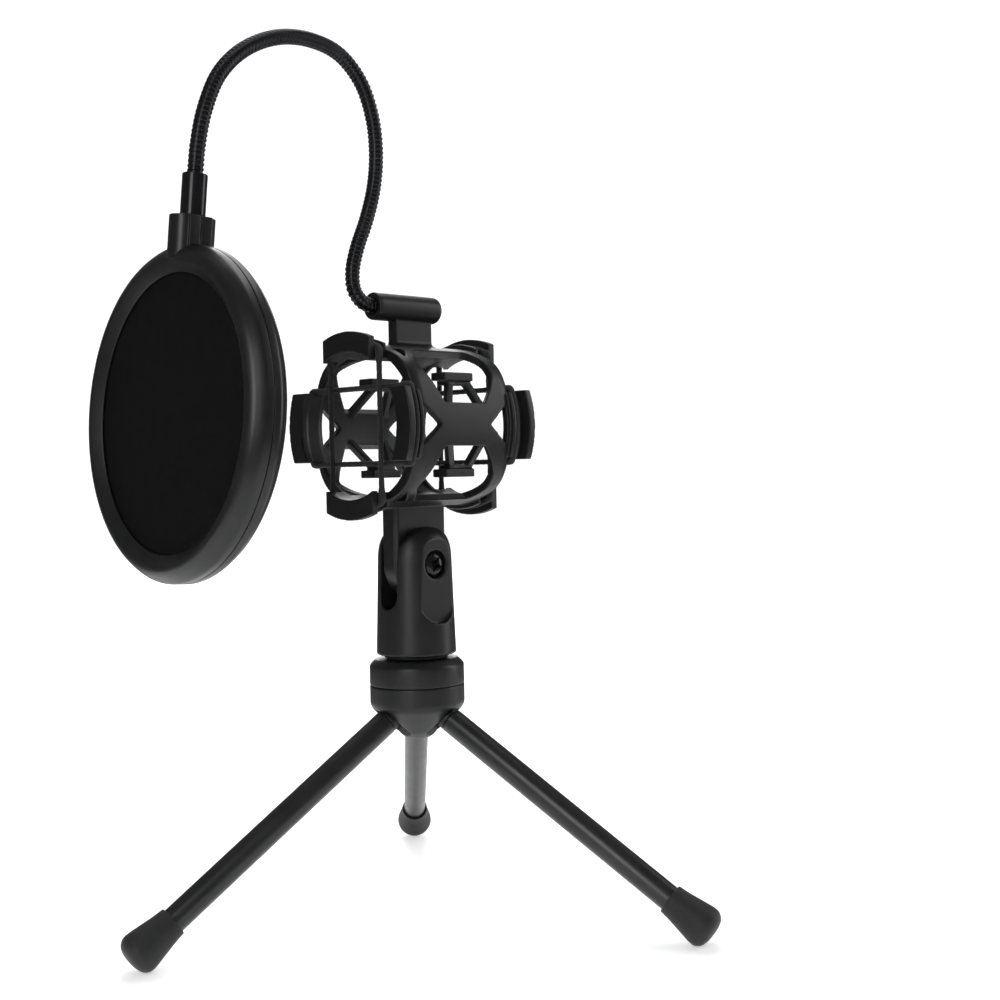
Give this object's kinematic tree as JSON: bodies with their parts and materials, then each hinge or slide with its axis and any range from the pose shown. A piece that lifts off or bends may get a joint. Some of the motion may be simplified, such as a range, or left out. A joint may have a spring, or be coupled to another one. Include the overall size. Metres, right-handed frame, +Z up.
{
  "type": "pop filter",
  "caption": "Round mesh pop filter on a gooseneck, carried by a spider shock mount and screw-on clip on a small folding tripod desk stand.",
  "frame": {"origin": "on the floor, under the middle of the whole stand's bounding box, with the legs splayed on their stops", "axes": "+Z up; the microphone lies along Y and speaks toward -Y, where the pop screen stands; +X to the right seen from the speaker's side"},
  "size_m": [0.2174, 0.2094, 0.3466],
  "materials": {
    "moulded_black": "fine moulded grain, satin",
    "ring_black": "smooth satin moulding",
    "leg_paint": "black satin paint on steel tube",
    "foot_rubber": "matt",
    "zinc_steel": "zinc plated",
    "insert_brass": "machined",
    "elastic_cord": "woven cover over rubber",
    "gooseneck_black": "glossy black strip-wound flexible tube",
    "screen_mesh": "stretched nylon mesh"
  },
  "bodies": {
    "tripod_hub": {"hub_lower_body": "moulded_black", "hub_top_cap": "moulded_black", "hub_centre_bolt": "zinc_steel", "threaded_stud": "zinc_steel", "stud_collar_washer": "foot_rubber", "leg_pin_1": "zinc_steel", "leg_pin_2": "zinc_steel", "leg_pin_3": "zinc_steel"},
    "leg_1": {"leg_knuckle_1": "moulded_black", "leg_tube_1": "leg_paint", "rubber_foot_1": "foot_rubber"},
    "leg_2": {"leg_knuckle_2": "moulded_black", "leg_tube_2": "leg_paint", "rubber_foot_2": "foot_rubber"},
    "leg_3": {"leg_knuckle_3": "moulded_black", "leg_tube_3": "leg_paint", "rubber_foot_3": "foot_rubber"},
    "clip": {"clip_body": "moulded_black", "thread_insert": "insert_brass", "tilt_screw": "zinc_steel", "tilt_nut": "zinc_steel"},
    "shock_mount": {"shock_mount_cage": "moulded_black", "elastic_front_upright": "elastic_cord", "elastic_front_level": "elastic_cord", "elastic_rear_upright": "elastic_cord", "elastic_rear_level": "elastic_cord", "gooseneck_root": "gooseneck_black"},
    "gooseneck_link_1": {"gooseneck_1": "gooseneck_black"},
    "gooseneck_link_2": {"gooseneck_2": "gooseneck_black"},
    "gooseneck_link_3": {"gooseneck_3": "gooseneck_black"},
    "gooseneck_link_4": {"gooseneck_4": "gooseneck_black"},
    "gooseneck_link_5": {"gooseneck_5": "gooseneck_black"},
    "pop_screen": {"gooseneck_tip": "gooseneck_black", "gooseneck_ferrule": "gooseneck_black", "screen_ring_front": "ring_black", "screen_ring_rear": "ring_black", "screen_front": "screen_mesh", "screen_rear": "screen_mesh"}
  },
  "joints": [
    {"name": "leg_fold_1", "type": "hinge", "parent": "tripod_hub", "child": "leg_1", "pos_m": [-0.01969, 0.02694, 0.081], "axis": [-0.6521, -0.7581, 0], "range_deg": [0, 55]},
    {"name": "leg_fold_2", "type": "hinge", "parent": "tripod_hub", "child": "leg_2", "pos_m": [-0.01304, 0.00798, 0.081], "axis": [0.9826, -0.1857, 0], "range_deg": [0, 55]},
    {"name": "leg_fold_3", "type": "hinge", "parent": "tripod_hub", "child": "leg_3", "pos_m": [0.00006, 0.02321, 0.081], "axis": [-0.3305, 0.9438, 0], "range_deg": [0, 55]},
    {"name": "mount_swivel", "type": "hinge", "parent": "tripod_hub", "child": "clip", "pos_m": [-0.01089, 0.01937, 0.1052], "axis": [0, 0, 1], "range_deg": [-180, 180]},
    {"name": "cage_tilt", "type": "hinge", "parent": "clip", "child": "shock_mount", "pos_m": [-0.01089, 0.01937, 0.1417], "axis": [1, 0, 0], "range_deg": [-45, 45]},
    {"name": "gooseneck_base_bend", "type": "hinge", "parent": "shock_mount", "child": "gooseneck_link_1", "pos_m": [-0.01089, -0.01013, 0.2575], "axis": [1, 0, 0], "range_deg": [-25, 6]},
    {"name": "gooseneck_base_swing", "type": "hinge", "parent": "gooseneck_link_1", "child": "gooseneck_link_2", "pos_m": [-0.01089, 0.00137, 0.2905], "axis": [0, 0.9752, -0.2213], "range_deg": [-30, 30]},
    {"name": "gooseneck_rise_bend", "type": "hinge", "parent": "gooseneck_link_2", "child": "gooseneck_link_3", "pos_m": [-0.01089, -0.00402, 0.332], "axis": [-1, 0, 0], "range_deg": [-6, 30]},
    {"name": "gooseneck_top_swing", "type": "hinge", "parent": "gooseneck_link_3", "child": "gooseneck_link_4", "pos_m": [-0.01089, -0.02863, 0.3436], "axis": [0, 0.0241, 0.9997], "range_deg": [-45, 45]},
    {"name": "gooseneck_top_bend", "type": "hinge", "parent": "gooseneck_link_4", "child": "gooseneck_link_5", "pos_m": [-0.01089, -0.05862, 0.3344], "axis": [1, 0, 0], "range_deg": [-30, 10]},
    {"name": "pop_screen_nod", "type": "hinge", "parent": "gooseneck_link_5", "child": "pop_screen", "pos_m": [-0.01089, -0.07982, 0.2966], "axis": [-1, 0, 0], "range_deg": [-14, 35]}
  ]
}
